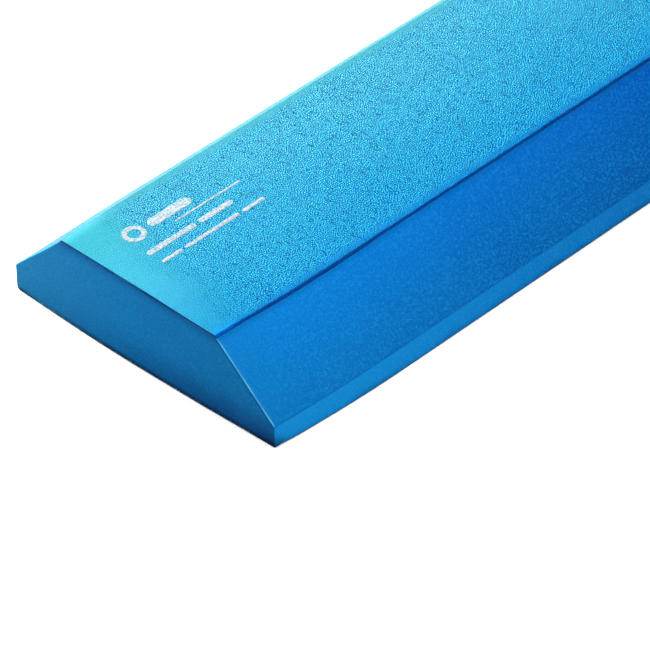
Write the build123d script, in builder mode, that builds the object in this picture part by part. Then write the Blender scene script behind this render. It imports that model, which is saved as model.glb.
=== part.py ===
"""Floor balance beam: a low bar of closed-cell foam with a wide base and a narrower walking surface.

X runs along the beam, Y across it and Z up. The origin is on the floor, under the middle of the beam.
"""
from build123d import *
import math
import os

# Driving dimensions, in millimetres
LENGTH = 1620.0             # end to end
BASE_WIDTH = 240.0          # across the underside
TOP_WIDTH = 143.0           # across the walking surface
HEIGHT = 63.0               # floor to walking surface
BAND_HEIGHT = 16.5          # upright strip of each side, between the floor and the slope
TOP_SKIN = 1.5              # dense moulded skin that is walked on
BASE_SKIN = 1.5             # dense moulded skin on the underside

# Rounding of the cut edges
BOTTOM_EDGE_R = 1.5         # long bottom edges
SLOPE_EDGE_R = 2.5          # where the slope meets the upright strip
TOP_EDGE_R = 1.8            # where the slope meets the walking surface
END_EDGE_R = 1.0            # around both end faces

# Printed mark on the walking surface, near one end
INK = 0.2                   # thickness of the ink film
PRINT_MARGIN = 27.0         # from the end of the beam to the start of the print
RING_R = 8.2                # round device, outer radius
RING_BORE_R = 4.6           # round device, inner radius
RING_Y = 41.5               # round device, distance from the beam's centre line
BADGE_LENGTH = 36.0         # plain bar beside the round device
BADGE_WIDTH = 8.0
BADGE_GAP = 4.0
# Plain dashes, a line each: distance from the centre line, dash width, start past the margin, dash lengths
DASH_LINES = (
    (31.5, 1.6, 34.0, (56.0,)),
    (20.0, 4.6, 0.0, (41.0, 29.0)),
    (7.5, 3.2, 1.0, (17.0, 46.0, 19.0)),
)
DASH_GAP = 3.0              # between dashes of one line


# The whole beam as one bar, which the skins and the core are then cut from
side_corners = [
    (BASE_WIDTH / 2, 0, BOTTOM_EDGE_R),
    (BASE_WIDTH / 2, BAND_HEIGHT, SLOPE_EDGE_R),
    (TOP_WIDTH / 2, HEIGHT, TOP_EDGE_R),
]
corner_points = [(y, z) for y, z, radius in side_corners]
corner_points += [(-y, z) for y, z in reversed(corner_points)]
with BuildPart() as bar:
    with BuildSketch(Plane.YZ.offset(-LENGTH / 2)) as section:
        with BuildLine():
            Polyline(*corner_points, close=True)
        make_face()
        for y, z, radius in side_corners:
            corner_pair = section.vertices().filter_by(lambda corner: math.isclose(corner.Z, z, abs_tol=1e-6))
            fillet(corner_pair, radius=radius)
    extrude(amount=LENGTH)
    for end_face in bar.faces().filter_by(Axis.X):
        fillet(end_face.edges(), radius=END_EDGE_R)

# Underside skin, which lies on the floor; the three layers of the bar are bonded face to face
with BuildPart() as base_skin:
    add(bar.part)
    split(bisect_by=Plane.XY.offset(BASE_SKIN), keep=Keep.BOTTOM)

# Foam core, which gives the beam its height and its sloped sides
with BuildPart() as foam_core:
    add(bar.part)
    split(bisect_by=Plane.XY.offset(BASE_SKIN), keep=Keep.TOP)
    split(bisect_by=Plane.XY.offset(HEIGHT - TOP_SKIN), keep=Keep.BOTTOM)

# Printed round device: an ink ring with a plain bar beside it
print_start = -LENGTH / 2 + PRINT_MARGIN
with BuildSketch(Plane.XY.offset(HEIGHT)) as emblem_print:
    with Locations((print_start + RING_R, RING_Y)):
        Circle(RING_R)
        Circle(RING_BORE_R, mode=Mode.SUBTRACT)
    with Locations((print_start + 2 * RING_R + BADGE_GAP + BADGE_LENGTH / 2, RING_Y)):
        SlotOverall(BADGE_LENGTH, BADGE_WIDTH)

# Printed dashes: plain ink bars with round ends, in three lines
with BuildSketch(Plane.XY.offset(HEIGHT)) as line_print:
    for line_y, dash_width, indent, dash_lengths in DASH_LINES:
        dash_start = print_start + indent
        for dash_length in dash_lengths:
            with Locations((dash_start + dash_length / 2, line_y)):
                SlotOverall(dash_length, dash_width)
            dash_start += dash_length + DASH_GAP

# Walking surface skin, with the print pressed into it so that the ink lies flush
with BuildPart() as top_skin:
    add(bar.part)
    split(bisect_by=Plane.XY.offset(HEIGHT - TOP_SKIN), keep=Keep.TOP)
    extrude(emblem_print.sketch, amount=-INK, mode=Mode.SUBTRACT)
    extrude(line_print.sketch, amount=-INK, mode=Mode.SUBTRACT)

with BuildPart() as printed_emblem:
    extrude(emblem_print.sketch, amount=-INK)

with BuildPart() as printed_lines:
    extrude(line_print.sketch, amount=-INK)

pieces = {
    "base_skin": base_skin,
    "foam_core": foam_core,
    "top_skin": top_skin,
    "printed_emblem": printed_emblem,
    "printed_lines": printed_lines,
}
os.makedirs("parts", exist_ok=True)
for name, piece in pieces.items():
    piece.part.label = name
    export_step(piece.part, f"parts/{name}.step")

slope_angle = math.degrees(math.atan2(HEIGHT - BAND_HEIGHT, (BASE_WIDTH - TOP_WIDTH) / 2))
print(f"beam {LENGTH:.0f} x {BASE_WIDTH:.0f} x {HEIGHT:.0f} mm, sides slope at {slope_angle:.1f} degrees")
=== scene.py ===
"""Looks of the floor balance beam: a bar of closed-cell foam with a grained walking skin.

X runs along the beam, Y across it and Z up, in metres. The printed end is at the lowest X.
"""

import math

import bpy
import numpy as np
from mathutils import Matrix, Vector, noise


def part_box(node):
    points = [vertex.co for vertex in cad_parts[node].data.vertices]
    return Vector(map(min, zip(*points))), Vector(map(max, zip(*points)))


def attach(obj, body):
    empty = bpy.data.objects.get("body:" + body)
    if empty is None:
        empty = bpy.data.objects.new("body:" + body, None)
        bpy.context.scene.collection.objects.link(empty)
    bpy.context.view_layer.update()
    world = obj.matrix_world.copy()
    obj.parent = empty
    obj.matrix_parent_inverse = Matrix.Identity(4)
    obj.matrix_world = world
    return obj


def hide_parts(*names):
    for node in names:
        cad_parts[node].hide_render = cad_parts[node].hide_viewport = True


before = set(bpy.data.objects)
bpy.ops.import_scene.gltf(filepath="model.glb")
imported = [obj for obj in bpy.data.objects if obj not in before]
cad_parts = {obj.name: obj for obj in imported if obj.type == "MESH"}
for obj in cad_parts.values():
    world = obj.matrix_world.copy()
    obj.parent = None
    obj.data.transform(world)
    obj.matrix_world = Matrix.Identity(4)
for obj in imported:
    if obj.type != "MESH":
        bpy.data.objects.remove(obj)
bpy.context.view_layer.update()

MM = 0.001

# ---------------------------------------------------------------- section of the beam, from the frame
core_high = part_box("foam_core")[1]
skin_low, skin_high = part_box("top_skin")
base_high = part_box("base_skin")[1]
END_X = core_high.x                     # half of the length
HALF_BASE = core_high.y
HEIGHT = skin_high.z
SKIN_Z = skin_low.z                     # where the walking skin meets the core
BASE_Z = base_high.z                    # where the core meets the underside skin
BAND_HEIGHT = 17.0 * MM                 # upright strip low on each side
HALF_TOP = 71.5 * MM                    # half of the walking surface's width
SLOPE_R = 2.5 * MM                      # rounding where the slope meets the upright strip
TOP_R = 1.8 * MM                        # where the slope meets the walking surface
END_R = 1.0 * MM                        # around both end faces
BOTTOM_R = {-1: 1.8 * MM, 1: 3.0 * MM}  # long bottom edges at -Y and +Y; the one at +Y is cut rounder
ARC_STEPS = 4                           # faces round each of the long roundings
FLARE = (HALF_BASE - HALF_TOP) / (HEIGHT - BAND_HEIGHT)     # run of the slope for each step down
CORNERS = [(0, 0), (HALF_BASE, 0), (HALF_BASE, BAND_HEIGHT), (HALF_TOP, HEIGHT), (0, HEIGHT)]


# ---------------------------------------------------------------- outline of one side
def rounded_path(corners, radii, steps, arc_steps):
    """Rows (y, z, outward normal y, outward normal z) along a polyline with rounded corners."""
    rows = []
    start = Vector(corners[0])
    for i in range(1, len(corners)):
        corner = Vector(corners[i])
        along = (corner - start).normalized()
        normal = Vector((along.y, -along.x))
        if i < len(corners) - 1:
            following = (Vector(corners[i + 1]) - corner).normalized()
            turn = along.angle(following)
            setback = radii[i - 1] * math.tan(turn / 2)
        else:
            turn, setback = 0.0, 0.0
        stop = corner - along * setback
        count = max(1, round((stop - start).length / steps[i - 1]))
        for k in range(count + 1):
            if k == 0 and i > 1:
                continue
            point = start.lerp(stop, k / count)
            rows.append((point.x, point.y, normal.x, normal.y))
        if turn > 0:
            centre = stop - normal * radii[i - 1]
            for k in range(1, arc_steps + 1):
                angle = turn * k / arc_steps
                turned = Vector((normal.x * math.cos(angle) - normal.y * math.sin(angle),
                                 normal.x * math.sin(angle) + normal.y * math.cos(angle)))
                point = centre + turned * radii[i - 1]
                rows.append((point.x, point.y, turned.x, turned.y))
            start = Vector(rows[-1][:2])
    return np.array(rows)


def side_path(bottom_radius, *spacings):
    """The +Y side from the middle of the underside up to the middle of the walking surface.

    The spacings of its points are for the underside, the upright strip, the slope and the walking surface.
    """
    return rounded_path(CORNERS, (bottom_radius, SLOPE_R, TOP_R), spacings, ARC_STEPS)


def between(path, low, high):
    """The part of a side's path between two heights, with points added where it crosses them."""
    def at(level):
        k = int(np.argmax(path[:, 1] > level))
        share = (level - path[k - 1, 1]) / (path[k, 1] - path[k - 1, 1])
        return path[k - 1] + (path[k] - path[k - 1]) * share
    gap = 0.05 * MM
    inside = path[(path[:, 1] > low + gap) & (path[:, 1] < high - gap)]
    if low <= 0:
        inside = path[path[:, 1] < high - gap]
    if high >= HEIGHT:
        inside = path[path[:, 1] > low + gap]
    rows = list(inside)
    if low > 0:
        rows.insert(0, at(low))
    if high < HEIGHT:
        rows.append(at(high))
    return np.array(rows)


def ring_of(spacings, low, high, step):
    """A closed ring round one layer: up the +Y side, across the top, down the -Y side, across the bottom.

    Rows are y, z, normal y, normal z. A hidden joint face has normals of zero, so it takes no end rounding.
    """
    layer = between(side_path(BOTTOM_R[1], *spacings), low, high)
    other = between(side_path(BOTTOM_R[-1], *spacings), low, high)[::-1] * np.array([-1, 1, -1, 1])

    def across(y_from, y_to, z):
        count = max(2, round(abs(y_to - y_from) / step))
        ys = np.linspace(y_from, y_to, count + 1)[1:-1]
        return np.stack([ys, np.full_like(ys, z), 0 * ys, 0 * ys], 1)
    parts = [layer]
    if high < HEIGHT:
        parts.append(across(layer[-1, 0], other[0, 0], high))
        parts.append(other)
    else:
        parts.append(other[1:])
    if low > 0:
        parts.append(across(other[-1, 0], layer[0, 0], low))
    else:
        parts[-1] = parts[-1][:-1]
    return np.concatenate(parts)


END_ARC = (0, 22, 45, 68, 90)           # degrees round the end edges at which there is a section


def stations(step):
    """X positions along the beam and the inset of the section at each, which rounds the end edges."""
    arc = [math.radians(a) for a in END_ARC]
    near = [(END_R * (1 - math.cos(a)), END_R * (1 - math.sin(a))) for a in arc]
    span = 2 * (END_X - END_R)
    count = round(span / step)
    middle = [(END_R + span * k / count, 0.0) for k in range(1, count)]
    rows = near + middle + [(2 * END_X - x, inset) for x, inset in reversed(near)]
    return np.array([(x - END_X, inset) for x, inset in rows])


# ---------------------------------------------------------------- small unevenness of real foam
def wave(points, size, seed):
    """Smooth noise from -1 to 1 at each point, with bumps about size apart."""
    offset = Vector((seed * 17.3, seed * 7.1, seed * 3.7))
    return np.array([noise.noise(Vector(p) / size + offset) for p in points])


def skin_thickness(x):
    """How thick the skin shows at its sides along the beam, as a multiple of its CAD thickness."""
    from_end = END_X - np.abs(x)
    swollen = np.exp(-((from_end - 0.095) / 0.045) ** 2)
    spots = np.stack([x, 0 * x, 0 * x], 1)
    return 1.10 + 0.22 * swollen + 0.16 * wave(spots, 0.05, 11) + 0.10 * wave(spots, 0.009, 12)


JOINT_REACH = 4 * MM            # how far down the core follows the unevenness of its joint with the skin


def relayer(points, directions):
    """Moves the joint of skin and core up or down the slope, alike for both, so that they still meet."""
    low = SKIN_Z - JOINT_REACH
    high = HEIGHT - TOP_R / 2
    outer = (np.abs(directions[:, 1]) > 0.3) & (points[:, 2] > low)
    joint = HEIGHT - (HEIGHT - SKIN_Z) * skin_thickness(points[:, 0])
    z = points[:, 2]
    below = low + (z - low) * (joint - low) / (SKIN_Z - low)
    above = high - (high - z) * (high - joint) / (high - SKIN_Z)
    moved = np.where(z <= SKIN_Z + 1e-6, below, above)
    moved = np.where(outer & (z < high), moved, z)
    points = points.copy()
    points[:, 1] += np.sign(points[:, 1]) * (z - moved) * FLARE
    points[:, 2] = moved
    return points


# How far the real bar strays from a straight one
LONG_SWELL = 0.35 * MM          # faces in and out, over about 160 mm
SHORT_SWELL = 0.12 * MM         # and over about 35 mm
SIDE_SPREAD = 3.0 * MM          # long sides outwards at the floor, away from the ends
FOOT_BOW = 4.4 * MM             # foot of each end outwards, most of all at FOOT_MIDDLE
FOOT_MIDDLE = 0.040             # distance of the bow from the beam's centre line
FOOT_TUCK = 1.5 * MM            # each end inwards, towards its other corner
TOP_LEAN = 1.0 * MM             # top of each end inwards
CORNER_PINCH = 1.5 * MM         # bottom of that other corner, towards the centre line
SHOULDER_LIFT = 2.3 * MM        # shoulder over the upright strip upwards, at the bowed corner


def settle(points, normals):
    """Moves points off a straight bar: swells, spread sides and bowed ends, but flat on the floor."""
    swell = LONG_SWELL * wave(points * (1, 1.6, 1.6), 0.16, 1) + SHORT_SWELL * wave(points, 0.035, 2)
    points = points + normals * swell[:, None]
    x, y, z = points.T
    rise = np.clip(z / HEIGHT, 0, 1)
    from_end = np.maximum(END_X - np.abs(x), 0)
    across = -np.sign(x) * y               # the two ends are alike when the beam is turned round
    # the long sides spread a little at the floor, and the ends are drawn in, one corner more than the other
    spread = SIDE_SPREAD * (1 - rise) ** 4 * (1 - np.exp(-(from_end / 0.06) ** 2))
    drawn_in = np.where(across < 0, 1.2 + 2.0 * rise, 2.1 - 1.1 * rise) * MM
    drawn_in *= np.exp(-(from_end / 0.040) ** 2)
    side = np.clip(y / HALF_TOP, -1, 1)
    # each end leans in towards the top, and its foot bows out most just off the middle
    reach = np.exp(-from_end / 0.02)
    bow_width = np.where(across > FOOT_MIDDLE, 0.160, 0.105)
    foot = FOOT_BOW * np.exp(-((across - FOOT_MIDDLE) / bow_width) ** 2)
    tucked = FOOT_TUCK * np.clip((-across - 0.060) / 0.060, 0, 1)
    top_lean = TOP_LEAN * rise * np.clip(1 - across / HALF_TOP, 0, 1)
    lean = (foot * (1 - rise) ** 1.5 - top_lean - tucked) * reach
    pinched = np.where(across < 0, CORNER_PINCH, 0.0) * (1 - rise) ** 2 * np.exp(-(from_end / 0.012) ** 2)
    points[:, 0] = x + np.sign(x) * lean
    points[:, 1] = y + side * (spread - drawn_in - pinched)
    # the shoulder over the upright strip sits higher at the corner on the bowed side
    at_shoulder = np.interp(z, (0.0, BAND_HEIGHT, HEIGHT), (0.0, 1.0, 0.0))
    lift = SHOULDER_LIFT * at_shoulder * np.clip((across - 0.060) / 0.045, 0, 1)
    points[:, 2] = np.maximum(z, 0.0) + lift * np.exp(-from_end / 0.04)
    return points


def build(name, ring, rows, end_rings, offset=None):
    """A closed mesh: one ring of section points carried along the beam, with end faces of nested rings."""
    count = len(ring)
    sections = []
    for x, inset in rows:
        y = ring[:, 0] - ring[:, 2] * inset
        z = ring[:, 1] - ring[:, 3] * inset
        sections.append(np.stack([np.full(count, x), y, z], 1))
    normals = [np.stack([np.zeros(count), ring[:, 2], ring[:, 3]], 1)] * len(sections)
    centre = np.array([0.0, (ring[:, 1].min() + ring[:, 1].max()) / 2])
    first, last = sections[0], sections[-1]

    def shrunk(section, share):
        inner = section.copy()
        inner[:, 1:] = centre + (section[:, 1:] - centre) * share
        return inner
    lead = [shrunk(first, share) for share in end_rings]
    tail = [shrunk(last, share) for share in reversed(end_rings)]
    flat_in = [np.tile((0.0, 0.0, 0.0), (count, 1))] * len(end_rings)
    sections = lead + sections + tail
    normals = flat_in + normals + flat_in
    points = np.concatenate(sections)
    directions = np.concatenate(normals)
    points = relayer(points, directions)
    if offset is not None:
        points = offset(points, directions)
    points = settle(points, directions)
    faces = []
    for s in range(len(sections) - 1):
        for k in range(count):
            m = (k + 1) % count
            a, b = s * count, (s + 1) * count
            faces.append((a + k, a + m, b + m, b + k))
    faces.append(tuple(range(count))[::-1])
    top = (len(sections) - 1) * count
    faces.append(tuple(range(top, top + count)))
    mesh = bpy.data.meshes.new(name)
    mesh.from_pydata(points.tolist(), [], faces)
    mesh.validate()
    mesh.shade_smooth()
    piece = bpy.data.objects.new(name, mesh)
    bpy.context.scene.collection.objects.link(piece)
    return piece


# Spacings of each layer's points on the underside, the upright strip, the slope and the walking surface
CORE_SPACINGS = (0.020, 0.002, 0.0025, 0.010)
BASE_SPACINGS = (0.012, 0.002, 0.0025, 0.010)
SKIN_SPACINGS = (0.020, 0.002, 0.0008, 0.00175)
# Nested rings of each layer's end faces, as shares of their outline
CORE_END_RINGS = (0.3, 0.6, 0.8, 0.93, 0.985)
BASE_END_RINGS = (0.9,)
SKIN_END_RINGS = (0.97,)

core_ring = ring_of(CORE_SPACINGS, BASE_Z, SKIN_Z, 0.012)
core = build("foam_bar", core_ring, stations(0.004), CORE_END_RINGS)
base_ring = ring_of(BASE_SPACINGS, 0, BASE_Z, 0.012)
base = build("underside_skin", base_ring, stations(0.006), BASE_END_RINGS)


def grain_height(points):
    """The unevenness of the walking surface that is large enough to be shape: shallow dimples."""
    return 0.06 * MM * wave(points, 0.0055, 5) + 0.03 * MM * wave(points, 0.012, 6)


def skin_offset(points, directions):
    """Adds the dimples of the walking surface and a slightly ragged cut edge at its sides."""
    up = np.clip((directions[:, 2] - 0.9) / 0.1, 0, 1)
    side = np.clip(np.abs(directions[:, 1]) * 2 - 0.2, 0, 1)
    calm = np.clip((END_X - np.abs(points[:, 0])) / 0.02, 0, 1)
    points = points.copy()
    points[:, 2] += up * calm * grain_height(points)
    edge = np.stack([points[:, 0], np.sign(points[:, 1]), 0 * points[:, 0]], 1)
    ragged = 0.16 * MM * wave(edge, 0.0045, 8) + 0.14 * MM * wave(edge, 0.014, 9)
    points[:, 1] += np.sign(directions[:, 1]) * side * ragged
    return points


skin_ring = ring_of(SKIN_SPACINGS, SKIN_Z, HEIGHT, 0.02)
skin = build("walking_skin", skin_ring, stations(0.00175), SKIN_END_RINGS, skin_offset)


# ---------------------------------------------------------------- colours, as linear red, green and blue
SKIN_FAR_PAINTED_LIGHT = (0.056, 0.640, 0.800)            # walking surface along the +Y edge, paler and greener as painted light
SKIN_BLUE = (0.022, 0.640, 0.970)           # along the middle
SKIN_NEAR_PAINTED_SHADE = (0.000, 0.425, 1.000)           # and along the -Y edge, deeper as painted shade
SKIN_PAINTED_GLINT = (0.180, 0.920, 1.000)          # painted highlight on the tops of the grain, towards the +Y edge
SKIN_PAINTED_GLINT_NEAR = (0.040, 0.800, 1.000)     # and towards the -Y edge
SKIN_VALLEY_PAINTED_SHADE = (0.000, 0.034, 0.440)          # painted shade in the valleys of the grain
# painted shade in the creases of the grain
SKIN_CREASE_PAINTED_SHADE = (0.000, 0.045, 0.200)
CALM_TINT = (0.50, 0.575, 0.54)             # the smoother skin near the ends is duller by this much
SKIN_HAZE = (0.095, 0.415, 0.580)           # and greyer, most of all on the beam's centre line
SKIN_EDGE_NEAR = (0.000, 0.285, 0.800)      # smooth strip along the -Y edge
SKIN_EDGE_FAR_PAINTED_SHEEN = (0.085, 0.520, 0.620)       # and along the +Y edge, paler as a painted sheen
SKIN_RIM_PAINTED_HIGHLIGHT = (0.080, 0.420, 0.560)            # painted highlight on the rounded edge at the ends
CUT_NAVY = (0.000, 0.070, 0.400)            # cut edge of the skin
CUT_NAVY_PALE = (0.000, 0.098, 0.480)
CUT_END = (0.000, 0.052, 0.140)
FOAM_HIGH_END = (0.001, 0.156, 0.500)       # slope, top and foot, near the ends of the beam
FOAM_LOW_END = (0.001, 0.110, 0.330)
FOAM_HIGH_MID = (0.000, 0.060, 0.405)       # and along its middle, darker as painted shade
FOAM_LOW_MID = (0.000, 0.038, 0.225)
# upright strip near the ends, and along the middle darker as painted shade
FOAM_BAND_END = (0.003, 0.195, 0.495)
FOAM_BAND_MID = (0.000, 0.110, 0.400)
FOAM_FAR_SIDE_PAINTED_LIGHT = (0.035, 0.300, 0.260)          # side at +Y, paler as painted light from behind
FOAM_END_PALE = (0.008, 0.113, 0.230)       # end face, from one side to the other
FOAM_END_DEEP = (0.001, 0.103, 0.270)
FOAM_PALE = (0.006, 0.230, 0.560)           # walls of the foam's cells, and faint clouds
FOAM_DULL = (0.003, 0.140, 0.390)           # slope beside the ends
FOAM_PORES_AND_PAINTED_SHADE = (0.000, 0.080, 0.280)           # pores, and painted shade in lines at corners and under the walking skin
FOAM_WEAR_AND_PAINTED_HIGHLIGHT = (0.090, 0.420, 0.680)           # edge between slope and end, lighter as wear and as a painted highlight
FOAM_PAINTED_SHADE = (0.000, 0.035, 0.138)          # painted shade near the floor, under the walking skin and beside the ends' edges
BASE_NAVY_AND_PAINTED_SHADOW = (0.000, 0.007, 0.028)           # underside skin, made nearly black as painted contact shadow; also the painted shadow at the foot of the end faces
BASE_NAVY_PALE = (0.000, 0.014, 0.045)
INK_WHITE = (0.58, 0.61, 0.61)
INK_GREY = (0.26, 0.36, 0.40)
INK_THIN = (0.04, 0.30, 0.48)               # skin showing through the ink


# ---------------------------------------------------------------- materials
class Nodes:
    """Short calls for making a material's nodes."""

    def __init__(self, name):
        self.material = bpy.data.materials.new(name)
        self.material.use_nodes = True
        self.tree = self.material.node_tree
        self.shader = self.tree.nodes["Principled BSDF"]
        self.position = self.add("ShaderNodeTexCoord").outputs["Object"]
        self.facing = self.add("ShaderNodeTexCoord").outputs["Normal"]

    def add(self, kind, **values):
        node = self.tree.nodes.new(kind)
        for key, value in values.items():
            setattr(node, key, value)
        return node

    def put(self, socket, value):
        """Links value to a socket if it is an output, and otherwise sets it."""
        if isinstance(value, bpy.types.NodeSocket):
            self.tree.links.new(value, socket)
        else:
            socket.default_value = value

    def math(self, operation, a, b=0.0):
        node = self.add("ShaderNodeMath", operation=operation)
        self.put(node.inputs[0], a)
        self.put(node.inputs[1], b)
        return node.outputs[0]

    def noise(self, scale, detail=2.0, roughness=0.5):
        """Smooth noise about 0.5, with scale bumps to a metre."""
        node = self.add("ShaderNodeTexNoise")
        self.put(node.inputs["Vector"], self.position)
        self.put(node.inputs["Scale"], scale)
        self.put(node.inputs["Detail"], detail)
        self.put(node.inputs["Roughness"], roughness)
        return node.outputs["Fac"]

    def cells(self, scale, feature="F1", vector=None, dimensions="3D"):
        """Distance from the middle of the nearest cell or from its edge, with scale cells to a metre."""
        node = self.add("ShaderNodeTexVoronoi", voronoi_dimensions=dimensions, feature=feature)
        self.put(node.inputs["Vector"], vector or self.position)
        self.put(node.inputs["Scale"], scale)
        return node.outputs["Distance"]

    def stretched(self, scale):
        """The position with each axis multiplied by its own scale."""
        node = self.add("ShaderNodeMapping")
        self.put(node.inputs["Vector"], self.position)
        self.put(node.inputs["Scale"], scale)
        return node.outputs["Vector"]

    def absolute(self, value):
        return self.math("ABSOLUTE", value)

    def split(self, vector):
        node = self.add("ShaderNodeSeparateXYZ")
        self.put(node.inputs[0], vector)
        return node.outputs

    def ramp(self, value, low, high, out_low=0.0, out_high=1.0, smooth=True):
        """Takes value from out_low at low to out_high at high, and holds it beyond them."""
        node = self.add("ShaderNodeMapRange", interpolation_type="SMOOTHSTEP" if smooth else "LINEAR")
        self.put(node.inputs["Value"], value)
        self.put(node.inputs["From Min"], low)
        self.put(node.inputs["From Max"], high)
        self.put(node.inputs["To Min"], out_low)
        self.put(node.inputs["To Max"], out_high)
        return node.outputs["Result"]

    def mix(self, share, a, b, blend="MIX"):
        """Colour a where share is 0 and b where it is 1."""
        node = self.add("ShaderNodeMix", data_type="RGBA", blend_type=blend)
        self.put(node.inputs["Factor"], share)
        self.put(node.inputs["A"], a if isinstance(a, bpy.types.NodeSocket) else (*a, 1))
        self.put(node.inputs["B"], b if isinstance(b, bpy.types.NodeSocket) else (*b, 1))
        return node.outputs["Result"]

    def bump(self, height, distance, strength):
        node = self.add("ShaderNodeBump")
        self.put(node.inputs["Height"], height)
        self.put(node.inputs["Distance"], distance)
        self.put(node.inputs["Strength"], strength)
        return node.outputs["Normal"]

    def finish(self, color, roughness, normal, specular):
        """Sets the shader and returns the material."""
        self.put(self.shader.inputs["Base Color"], color)
        self.put(self.shader.inputs["Roughness"], roughness)
        self.put(self.shader.inputs["Normal"], normal)
        self.put(self.shader.inputs["Specular IOR Level"], specular)
        return self.material


def shares(n, *terms):
    """The product of several values, each from 0 to 1."""
    result = terms[0]
    for term in terms[1:]:
        result = n.math("MULTIPLY", result, term)
    return result


GRAIN_SCALE = 680.0             # pebbles to a metre
GRAIN_STRETCH = (1.15, 0.90, 1.0)
GRAIN_WARP_SCALE = 420.0        # bends of the rows of pebbles, to a metre
GRAIN_WARP = 0.0007             # and how far they bend, in metres
CREASE_BEND = 0.0035
# Cell size, half length and width in metres, heading and spread in degrees, share of cells with a crease
LONG_CREASES = ((0.012, 0.013), 0.0048, 0.00040, 104, 26, 0.50)
SHORT_CREASES = ((0.0065, 0.0075), 0.0030, 0.00050, 100, 60, 0.45)
CALM_START = 0.056              # distance from the end at which the skin starts to get smoother
CALM_STOP = 0.004               # and at which it is smooth
CALM_WANDER = 0.022             # unevenness of that distance
CALM_SLANT = 0.12               # change of that distance for each metre across the beam


def creases(n, cell, half_length, width, heading, spread, kept, seed):
    """Short thin creases within spread degrees of a heading; 1 on a crease and 0 off it.

    There is at most one in each cell (x size, y size), and kept is the share of cells that have one.
    """
    place = n.add("ShaderNodeMapping")
    n.put(place.inputs["Vector"], n.position)
    n.put(place.inputs["Location"], (seed * 3.1, seed * 5.7, 0.0))
    n.put(place.inputs["Scale"], (1 / cell[0], 1 / cell[1], 0.0))
    dots = n.add("ShaderNodeTexVoronoi", voronoi_dimensions="2D", feature="F1")
    n.put(dots.inputs["Vector"], place.outputs["Vector"])
    n.put(dots.inputs["Scale"], 1.0)
    local = n.add("ShaderNodeVectorMath", operation="SUBTRACT")
    n.put(local.inputs[0], place.outputs["Vector"])
    n.put(local.inputs[1], dots.outputs["Position"])
    lx, ly = n.split(local.outputs[0])[:2]
    lx = n.math("MULTIPLY", lx, cell[0])
    ly = n.math("MULTIPLY", ly, cell[1])
    chance, turn, reach = n.split(dots.outputs["Color"])
    swing = n.math("MULTIPLY", n.math("SUBTRACT", turn, 0.5), 2 * math.radians(spread))
    angle = n.math("ADD", swing, math.radians(heading))
    cosine = n.math("COSINE", angle)
    sine = n.math("SINE", angle)
    along = n.math("ADD", n.math("MULTIPLY", lx, cosine), n.math("MULTIPLY", ly, sine))
    aside = n.math("SUBTRACT", n.math("MULTIPLY", ly, cosine), n.math("MULTIPLY", lx, sine))
    bend = n.math("MULTIPLY", n.math("SUBTRACT", n.noise(170.0, 2.0, 0.6), 0.5), CREASE_BEND)
    aside = n.absolute(n.math("ADD", aside, bend))
    length = n.math("MULTIPLY", n.ramp(reach, 0.0, 1.0, 0.45, 1.0, smooth=False), half_length)
    share = n.math("DIVIDE", n.absolute(along), length)
    thin = n.ramp(aside, 0.0, width, 1.0, 0.0)
    tapered = n.ramp(share, 0.55, 1.0, 1.0, 0.0)
    present = n.ramp(chance, kept - 0.05, kept + 0.05, 1.0, 0.0)
    return shares(n, thin, tapered, present)


def skin_grain(n):
    """Crinkled grain of the walking surface: height, valleys round the pebbles, tops that take a painted
    highlight, and creases.
    """
    warp = n.add("ShaderNodeTexNoise")
    n.put(warp.inputs["Vector"], n.position)
    n.put(warp.inputs["Scale"], GRAIN_WARP_SCALE)
    shift = n.add("ShaderNodeVectorMath", operation="SCALE")
    n.put(shift.inputs[0], warp.outputs["Color"])
    n.put(shift.inputs["Scale"], GRAIN_WARP)
    moved = n.add("ShaderNodeVectorMath", operation="ADD")
    n.put(moved.inputs[0], n.stretched(GRAIN_STRETCH))
    n.put(moved.inputs[1], shift.outputs[0])
    pebble = n.cells(GRAIN_SCALE, "F1", moved.outputs[0], "2D")
    gap = n.cells(GRAIN_SCALE, "DISTANCE_TO_EDGE", moved.outputs[0], "2D")
    broken = n.ramp(n.noise(1400.0, 0.0, 0.5), 0.36, 0.56, 0.45, 1.0)
    valley = n.math("MULTIPLY", n.ramp(gap, 0.09, 0.24, 1.0, 0.0), broken)
    fine = n.noise(1500.0, 0.5, 0.5)
    painted_glint_tops = n.math("MULTIPLY", n.ramp(pebble, 0.34, 0.50, 1.0, 0.0), n.ramp(fine, 0.40, 0.56, 0.65, 1.0))
    long_ones = creases(n, *LONG_CREASES, seed=1)
    short_ones = creases(n, *SHORT_CREASES, seed=2)
    crease = n.math("MAXIMUM", long_ones, n.math("MULTIPLY", short_ones, 0.8))
    # the creases fade towards the middle of the beam's length
    x = n.split(n.position)[0]
    crease = n.math("MULTIPLY", crease, n.ramp(n.absolute(x), 0.20, 0.62, 0.30, 1.0))
    height = n.math("ADD", n.math("MULTIPLY", fine, 0.9), n.math("MULTIPLY", n.ramp(gap, 0.0, 0.30), 0.8))
    height = n.math("SUBTRACT", height, n.math("MULTIPLY", crease, 0.8))
    return height, valley, painted_glint_tops, crease


def end_calm(n):
    """1 over most of the beam, falling to 0 over the last 50 mm of each end, where the skin is smoother."""
    x, y = n.split(n.position)[:2]
    wander = n.math("MULTIPLY", n.math("SUBTRACT", n.noise(45.0, 2.0, 0.6), 0.5), CALM_WANDER)
    place = n.math("ADD", n.absolute(x), wander)
    place = n.math("SUBTRACT", place, shares(n, y, n.math("SIGN", x), CALM_SLANT))
    return n.ramp(place, END_X - CALM_START, END_X - CALM_STOP, 1.0, 0.0)


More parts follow.
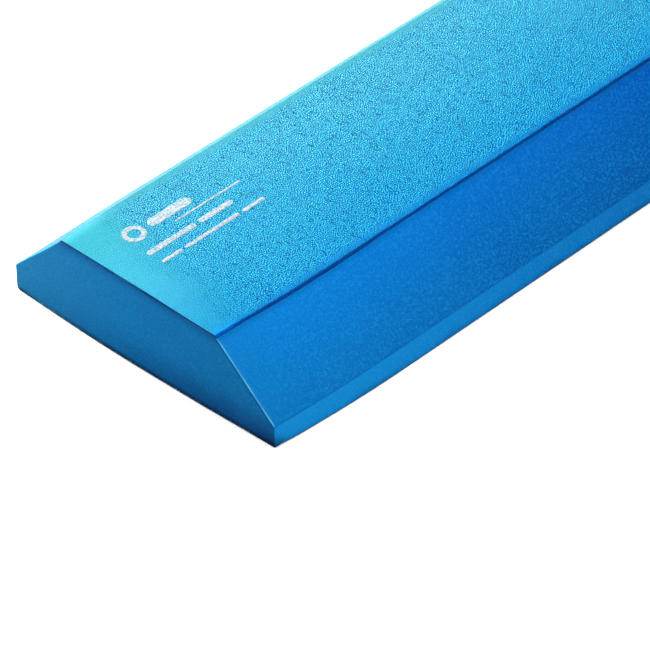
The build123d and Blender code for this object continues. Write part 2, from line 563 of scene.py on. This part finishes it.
def end_edge(n):
    """1 on the rounding between an end face and the faces beside it, 0 elsewhere."""
    nx = n.absolute(n.split(n.facing)[0])
    return n.math("MULTIPLY", n.ramp(nx, 0.12, 0.45), n.ramp(nx, 0.80, 0.97, 1.0, 0.0))


EDGE_LINE = HALF_TOP + HEIGHT * FLARE        # |y| + z * FLARE on the slope's plane
# Depth of each material's relief, in metres
WALKING_RELIEF = 0.0021
FOAM_RELIEF = 0.0004
BASE_RELIEF = 0.0003
INK_RELIEF = 0.0007


def walking_material():
    n = Nodes("walking_skin_blue")
    height, valley, painted_glint_tops, crease = skin_grain(n)
    y = n.split(n.position)[1]
    nx, _, nz = n.split(n.facing)
    calm = end_calm(n)
    smooth = n.ramp(calm, 0.0, 1.0, 1.0, 0.0)
    # colour of the skin and its grain, which drifts from one long edge to the other as painted light: paler
    # at +Y, deeper at -Y
    drift = n.math("ADD", y, n.math("MULTIPLY", n.math("SUBTRACT", n.noise(14.0, 3.0, 0.55), 0.5), 0.05))
    color = n.mix(n.ramp(drift, -HALF_TOP, 0.010, 1.0, 0.0, smooth=False), SKIN_BLUE, SKIN_NEAR_PAINTED_SHADE)
    color = n.mix(n.ramp(drift, 0.010, HALF_TOP), color, SKIN_FAR_PAINTED_LIGHT)
    glint = n.mix(n.ramp(drift, -HALF_TOP, HALF_TOP), SKIN_PAINTED_GLINT_NEAR, SKIN_PAINTED_GLINT)
    # painted highlight on the tops of the grain
    color = n.mix(shares(n, painted_glint_tops, n.ramp(calm, 0.0, 1.0, 0.25, 0.95)), color, glint)
    # painted shade in the valleys and creases of the grain
    color = n.mix(shares(n, valley, n.ramp(calm, 0.0, 1.0, 0.25, 1.0)), color, SKIN_VALLEY_PAINTED_SHADE)
    color = n.mix(shares(n, crease, n.ramp(calm, 0.0, 1.0, 0.0, 0.95)), color, SKIN_CREASE_PAINTED_SHADE)
    # smoother, duller skin near the ends
    color = n.mix(smooth, color, CALM_TINT, blend="MULTIPLY")
    hazy = n.ramp(n.absolute(y), 0.0, HALF_TOP, 0.30, 0.05)
    color = n.mix(n.math("MULTIPLY", smooth, hazy), color, SKIN_HAZE)
    # smooth strips along the long edges, the +Y one paler as a painted sheen, and a painted highlight on
    # the rounded edge at the ends
    near_edge = n.ramp(y, -HALF_TOP + 0.0008, -HALF_TOP + 0.0080, 0.85, 0.0)
    color = n.mix(near_edge, color, SKIN_EDGE_NEAR)
    far_edge = n.ramp(y, HALF_TOP - 0.0090, HALF_TOP - 0.0010, 0.0, 0.75)
    color = n.mix(far_edge, color, SKIN_EDGE_FAR_PAINTED_SHEEN)
    rim_highlight = n.math("MULTIPLY", end_edge(n), n.ramp(nz, 0.84, 0.96))
    color = n.mix(n.math("MULTIPLY", rim_highlight, 0.5), color, SKIN_RIM_PAINTED_HIGHLIGHT)
    # cut edge of the skin, at the sides and the ends
    cut = n.mix(n.noise(500.0, 2.0, 0.6), CUT_NAVY, CUT_NAVY_PALE)
    cut = n.mix(n.ramp(n.absolute(nx), 0.5, 0.9), cut, CUT_END)
    color = n.mix(n.ramp(nz, 0.72, 0.92), cut, color)
    rough = n.ramp(height, 0.3, 1.1, 0.58, 0.46)
    relief = n.math("MULTIPLY", height, n.ramp(calm, 0.0, 1.0, 0.25, 1.0))
    return n.finish(color, rough, n.bump(relief, WALKING_RELIEF, 1.0), 0.035)


def foam_material():
    n = Nodes("cut_foam_blue")
    nx, ny, nz = n.split(n.facing)
    x, y, z = n.split(n.position)
    from_middle = n.absolute(x)
    across = n.math("MULTIPLY", y, n.math("SIGN", x))       # the two ends are alike, turned round
    slope = n.ramp(nz, 0.25, 0.55)
    end = n.ramp(n.absolute(nx), 0.80, 0.97)
    pores = n.cells(950.0, "F1")
    speck = n.noise(620.0, 2.0, 0.6)
    # sides, darker along the middle of the beam as painted shade, and paler at +Y as painted light
    inner = n.ramp(from_middle, 0.35, END_X, 1.0, 0.0, smooth=False)
    high = n.mix(inner, FOAM_HIGH_END, FOAM_HIGH_MID)
    low_down = n.mix(inner, FOAM_LOW_END, FOAM_LOW_MID)
    sloped = n.mix(n.ramp(z, BAND_HEIGHT, HEIGHT, smooth=False), low_down, high)
    color = n.mix(slope, n.mix(inner, FOAM_BAND_END, FOAM_BAND_MID), sloped)
    color = n.mix(n.ramp(ny, 0.2, 0.6, 0.0, 0.80), color, FOAM_FAR_SIDE_PAINTED_LIGHT)
    # end faces
    end_color = n.mix(n.ramp(across, -HALF_BASE, 0.0, smooth=False), FOAM_END_PALE, FOAM_END_DEEP)
    color = n.mix(end, color, end_color)
    # clouds, cell walls and pores, which show less on the end faces
    cloud = n.ramp(n.noise(9.0, 3.0, 0.5), 0.3, 0.7)
    color = n.mix(n.math("MULTIPLY", cloud, 0.10), color, FOAM_PALE)
    walls = n.math("MULTIPLY", n.ramp(speck, 0.42, 0.70), n.ramp(end, 0.0, 1.0, 0.45, 0.22))
    color = n.mix(walls, color, FOAM_PALE)
    holes = n.math("MULTIPLY", n.ramp(pores, 0.40, 0.0), n.ramp(end, 0.0, 1.0, 0.55, 0.35))
    color = n.mix(holes, color, FOAM_PORES_AND_PAINTED_SHADE)
    # slope beside the ends: duller, with an edge lighter as wear and as a painted highlight
    near_end = n.ramp(from_middle, END_X - 0.045, END_X - 0.001)
    color = n.mix(shares(n, near_end, slope, 0.45), color, FOAM_DULL)
    at_end = n.ramp(from_middle, END_X - 0.0045, END_X - 0.0005)
    color = n.mix(shares(n, at_end, slope, 0.16), color, FOAM_WEAR_AND_PAINTED_HIGHLIGHT)
    # painted shade line on the end face, just inside its edge with the slope, on one side
    edge_gap = n.math("ADD", n.absolute(y), n.math("MULTIPLY", z, FLARE))
    beside_slope = n.ramp(edge_gap, EDGE_LINE - 0.0068, EDGE_LINE - 0.0042)
    one_sided = n.ramp(across, -0.02, 0.06, 0.0, 0.50)
    color = n.mix(shares(n, beside_slope, end, one_sided), color, FOAM_PAINTED_SHADE)
    wear_and_highlight_patches = n.ramp(n.noise(120.0, 3.0, 0.6), 0.30, 0.65, 0.45, 1.0)
    color = n.mix(shares(n, end_edge(n), slope, wear_and_highlight_patches), color, FOAM_WEAR_AND_PAINTED_HIGHLIGHT)
    # painted shade near the floor, most of all on the end faces and towards one corner of each
    low = n.math("ADD", z, n.math("MULTIPLY", n.math("SUBTRACT", n.noise(55.0, 3.0, 0.6), 0.5), 0.010))
    shaded_side = n.ramp(across, -0.09, 0.09, 0.12, 1.0)
    end_floor_shade = n.math("MULTIPLY", n.ramp(low, 0.002, 0.030, 0.80, 0.0), shaded_side)
    painted_floor_shade = n.mix(end, n.ramp(low, 0.0, 0.006, 0.35, 0.0), end_floor_shade)
    color = n.mix(painted_floor_shade, color, FOAM_PAINTED_SHADE)
    # painted shade lines: under the slope, under the walking skin, and at the upright corners
    seam = n.ramp(n.absolute(n.math("SUBTRACT", z, BAND_HEIGHT)), 0.0, 0.0011, 1.0, 0.0)
    color = n.mix(shares(n, seam, n.math("SUBTRACT", 1.0, end), 0.45), color, FOAM_PORES_AND_PAINTED_SHADE)
    under_skin = n.ramp(z, SKIN_Z - 0.0038, SKIN_Z + 0.0003)
    color = n.mix(shares(n, under_skin, 0.60), color, FOAM_PORES_AND_PAINTED_SHADE)
    shaded = n.ramp(z, SKIN_Z - 0.0085, SKIN_Z - 0.0010)
    color = n.mix(shares(n, shaded, end, 0.32), color, FOAM_PAINTED_SHADE)
    turned = n.ramp(from_middle, END_X - 0.0048, END_X - 0.0005, 0.0, 0.35)
    upright = n.math("SUBTRACT", 1.0, n.math("MAXIMUM", slope, end))
    color = n.mix(n.math("MULTIPLY", turned, upright), color, FOAM_PORES_AND_PAINTED_SHADE)
    # painted shadow at the foot of the end faces and at their lowest corner
    foot_share = n.ramp(across, -0.11, -0.02, 0.3, 1.0)
    foot = n.math("MULTIPLY", n.ramp(z, 0.0016, 0.0052, 0.90, 0.0), foot_share)
    color = n.mix(n.math("MULTIPLY", foot, end), color, BASE_NAVY_AND_PAINTED_SHADOW)
    beside_corner = n.ramp(across, HALF_BASE - 0.030, HALF_BASE - 0.002)
    corner_end = n.ramp(from_middle, END_X - 0.012, END_X - 0.002)
    corner = shares(n, beside_corner, corner_end, n.ramp(z, 0.001, 0.013, 0.75, 0.0))
    color = n.mix(corner, color, BASE_NAVY_AND_PAINTED_SHADOW)
    relief = n.math("ADD", n.math("MULTIPLY", speck, 0.6), n.math("MULTIPLY", pores, 0.5))
    n.put(n.shader.inputs["Sheen Weight"], 0.90)
    n.put(n.shader.inputs["Sheen Roughness"], 0.10)
    n.put(n.shader.inputs["Sheen Tint"], (0.60, 1.0, 0.95, 1.0))
    rough = n.ramp(speck, 0.3, 0.7, 0.85, 0.72)
    return n.finish(color, rough, n.bump(relief, FOAM_RELIEF, 0.8), 0.03)


def base_material():
    n = Nodes("underside_skin_navy")
    speck = n.noise(500.0, 3.0, 0.6)
    # the underside skin's near black stands partly for painted contact shadow
    color = n.mix(n.ramp(speck, 0.3, 0.7), BASE_NAVY_AND_PAINTED_SHADOW, BASE_NAVY_PALE)
    rough = n.ramp(speck, 0.3, 0.7, 0.8, 0.65)
    return n.finish(color, rough, n.bump(speck, BASE_RELIEF, 0.5), 0.02)


def ink_material():
    n = Nodes("white_ink")
    height, valley, _, crease = skin_grain(n)
    color = n.mix(n.ramp(n.noise(620.0, 1.0, 0.5), 0.34, 0.58), INK_GREY, INK_WHITE)
    color = n.mix(n.math("MULTIPLY", valley, 0.45), color, INK_THIN)
    color = n.mix(n.math("MULTIPLY", crease, 0.7), color, INK_THIN)
    return n.finish(color, 0.6, n.bump(height, INK_RELIEF, 0.9), 0.15)


# ---------------------------------------------------------------- printed mark
def islands(mesh):
    """The separate solids of a CAD node, each as an array of its vertices."""
    parent = list(range(len(mesh.vertices)))

    def root(i):
        while parent[i] != i:
            parent[i] = parent[parent[i]]
            i = parent[i]
        return i
    spots = {}
    for v in mesh.vertices:
        key = tuple(round(c, 6) for c in v.co)
        if key in spots:
            parent[root(v.index)] = root(spots[key])
        spots[key] = v.index
    for e in mesh.edges:
        parent[root(e.vertices[0])] = root(e.vertices[1])
    groups = {}
    for v in mesh.vertices:
        groups.setdefault(root(v.index), []).append(tuple(v.co))
    return [np.array(g) for _, g in sorted(groups.items())]


INK_RISE = 0.16 * MM            # how far the ink stands over the skin
RING_SIDES = 56


def film(name, sheets):
    """A thin ink film over the skin, from sheets of (grid of x and y, whether its rows make a ring)."""
    verts, faces = [], []
    for grid, closed in sheets:
        rows, cols = grid.shape[:2]
        flat = grid.reshape(-1, 2)
        points = np.concatenate([flat, np.full((len(flat), 1), HEIGHT)], 1)
        up = np.tile((0.0, 0.0, 1.0), (len(points), 1))
        points = settle(skin_offset(points, up), up)
        start = len(verts)
        top = points + (0, 0, INK_RISE)
        low = points - (0, 0, 2 * INK_RISE)
        verts += top.tolist() + low.tolist()
        half = len(flat)
        last_row = rows if closed else rows - 1
        for i in range(last_row):
            for j in range(cols - 1):
                a = i * cols + j
                b = ((i + 1) % rows) * cols + j
                faces.append((start + a, start + a + 1, start + b + 1, start + b))
                under = start + half
                faces.append((under + a, under + b, under + b + 1, under + a + 1))
        for i in range(last_row):
            a = i * cols
            b = ((i + 1) % rows) * cols
            faces.append((start + a, start + b, start + half + b, start + half + a))
            a += cols - 1
            b += cols - 1
            faces.append((start + a, start + half + a, start + half + b, start + b))
        if not closed:
            for j in range(cols - 1):
                faces.append((start + j, start + half + j, start + half + j + 1, start + j + 1))
                a = (rows - 1) * cols + j
                faces.append((start + a, start + a + 1, start + half + a + 1, start + half + a))
    mesh = bpy.data.meshes.new(name)
    mesh.from_pydata(verts, [], faces)
    mesh.validate()
    mesh.shade_smooth()
    piece = bpy.data.objects.new(name, mesh)
    bpy.context.scene.collection.objects.link(piece)
    return piece


def dash_sheet(low, high):
    """A bar with round ends between two corners, as a grid of points about a millimetre apart."""
    radius = (high[1] - low[1]) / 2
    middle = (high[1] + low[1]) / 2
    length = high[0] - low[0]
    ends = [radius * (1 - math.cos(math.radians(a))) for a in (12, 30, 50, 70, 90)]
    count = max(2, round((length - 2 * radius) / MM))
    straight = [radius + (length - 2 * radius) * k / count for k in range(1, count)]
    places = ends + straight + [length - e for e in reversed(ends)]
    columns = max(2, round(2 * radius / MM))
    rows = []
    for place in places:
        edge = max(radius - place, place - (length - radius), 0.0)
        half = math.sqrt(max(radius ** 2 - edge ** 2, 0.0))
        rows.append([(low[0] + place, middle + half * (2 * j / columns - 1)) for j in range(columns + 1)])
    return np.array(rows)[:, ::-1], False


def ring_sheet(points):
    """A flat ring, as a grid of points, from the CAD ring's own vertices."""
    centre = (points[:, :2].min(0) + points[:, :2].max(0)) / 2
    reach = np.linalg.norm(points[:, :2] - centre, axis=1)
    radii = np.linspace(reach.min(), reach.max(), 5)
    angles = np.linspace(0, 2 * math.pi, RING_SIDES + 1)[:-1]
    around = np.stack([np.cos(angles), np.sin(angles)], 1)
    return centre + around[:, None, :] * radii[None, :, None], True


def sheet_of(points):
    """A sheet of ink for one printed shape: a ring if it is as wide as it is long, and otherwise a dash."""
    low, high = points.min(0), points.max(0)
    round_shape = abs((high[0] - low[0]) - (high[1] - low[1])) < MM
    return ring_sheet(points) if round_shape else dash_sheet(low, high)


emblem = film("emblem_ink", [sheet_of(p) for p in islands(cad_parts["printed_emblem"].data)])
lines = film("line_ink", [sheet_of(p) for p in islands(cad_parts["printed_lines"].data)])

# ---------------------------------------------------------------- finish and place each piece
ink = ink_material()
for piece, node, slot, material in (
    (core, "foam_core", "foam", foam_material()),
    (skin, "top_skin", "walking_skin", walking_material()),
    (base, "base_skin", "base_skin", base_material()),
    (emblem, "printed_emblem", "white_ink", ink),
    (lines, "printed_lines", "white_ink", ink),
):
    piece.data.materials.append(material)
    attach(piece, "root")
    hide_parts(node)


# ---------------------------------------------------------------- studio
def floor():
    """A large pale floor."""
    mesh = bpy.data.meshes.new("floor")
    reach = 30.0
    corners = [(-reach, -reach, 0), (reach, -reach, 0), (reach, reach, 0), (-reach, reach, 0)]
    mesh.from_pydata(corners, [], [(0, 1, 2, 3)])
    piece = bpy.data.objects.new("floor", mesh)
    bpy.context.scene.collection.objects.link(piece)
    n = Nodes("pale_floor")
    tone = n.noise(2.0, 2.0, 0.5)
    color = n.mix(tone, (0.91, 0.91, 0.91), (0.94, 0.94, 0.94))
    n.finish(color, 0.8, n.bump(tone, 0.0001, 0.1), 0.1)
    n.put(n.shader.inputs["Emission Color"], (1, 1, 1, 1))
    n.put(n.shader.inputs["Emission Strength"], 0.22)
    piece.data.materials.append(n.material)


def softbox(name, place, aim, size, power):
    """A soft rectangular light that the camera doesn't see."""
    light = bpy.data.lights.new(name, "AREA")
    light.shape = "RECTANGLE"
    light.size, light.size_y = size
    light.energy = power
    lamp = bpy.data.objects.new(name, light)
    lamp.location = place
    lamp.rotation_euler = (Vector(aim) - Vector(place)).to_track_quat("-Z", "Y").to_euler()
    lamp.visible_camera = False
    bpy.context.scene.collection.objects.link(lamp)


def world_light(strength):
    """Even white light from all round."""
    world = bpy.data.worlds.new("studio")
    bpy.context.scene.world = world
    world.use_nodes = True
    background = world.node_tree.nodes["Background"]
    background.inputs["Color"].default_value = (1, 1, 1, 1)
    background.inputs["Strength"].default_value = strength


floor()
world_light(0.12)
softbox("overhead", (0.75, 0.10, 2.30), (0.30, 0.0, 0.0), (3.0, 2.6), 36.0)
softbox("middle", (0.15, 0.0, 1.50), (0.15, 0.0, 0.0), (1.6, 1.0), 6.0)
softbox("far_end", (0.80, 0.0, 1.20), (0.80, 0.0, 0.0), (1.2, 1.0), 8.0)
softbox("back_strip", (-0.30, 0.36, 0.30), (-0.30, 0.0, 0.06), (1.8, 0.12), 5.0)
softbox("back_key", (-0.50, 0.38, 0.42), (-0.68, 0.03, 0.06), (0.5, 0.14), 2.0)
softbox("side_fill", (-0.80, -0.36, 0.50), (-0.78, -0.05, 0.04), (0.3, 0.3), 2.1)
softbox("front_fill", (-1.6, -1.2, 1.2), (-0.6, 0.0, 0.03), (1.0, 1.0), 4.0)
softbox("end_fill", (-1.06, 0.32, 0.27), (-0.81, 0.08, 0.03), (0.22, 0.22), 0.95)


def camera():
    """A long lens at the corner of the printed end, looking down along the beam."""
    azimuth = math.radians(41.97)
    elevation = math.radians(39.60)
    roll = math.radians(-3.64)
    distance = 2.808
    aim = Vector((-END_X + 0.080, -0.082, 0.030))
    forward = Vector((
        math.sin(azimuth) * math.cos(elevation),
        math.cos(azimuth) * math.cos(elevation),
        -math.sin(elevation),
    ))
    right = forward.cross(Vector((0, 0, 1))).normalized()
    up = right.cross(forward)
    turned_right = right * math.cos(roll) + up * math.sin(roll)
    turned_up = up * math.cos(roll) - right * math.sin(roll)
    data = bpy.data.cameras.new("camera")
    data.lens = 250.2
    data.sensor_width = 36.0
    data.clip_end = 100.0
    view = bpy.data.objects.new("camera", data)
    rotation = Matrix((turned_right, turned_up, -forward)).transposed().to_4x4()
    view.matrix_world = Matrix.Translation(aim - forward * distance) @ rotation
    bpy.context.scene.collection.objects.link(view)
    bpy.context.scene.camera = view


camera()
bpy.context.scene.view_settings.view_transform = "Standard"

bpy.context.view_layer.update()
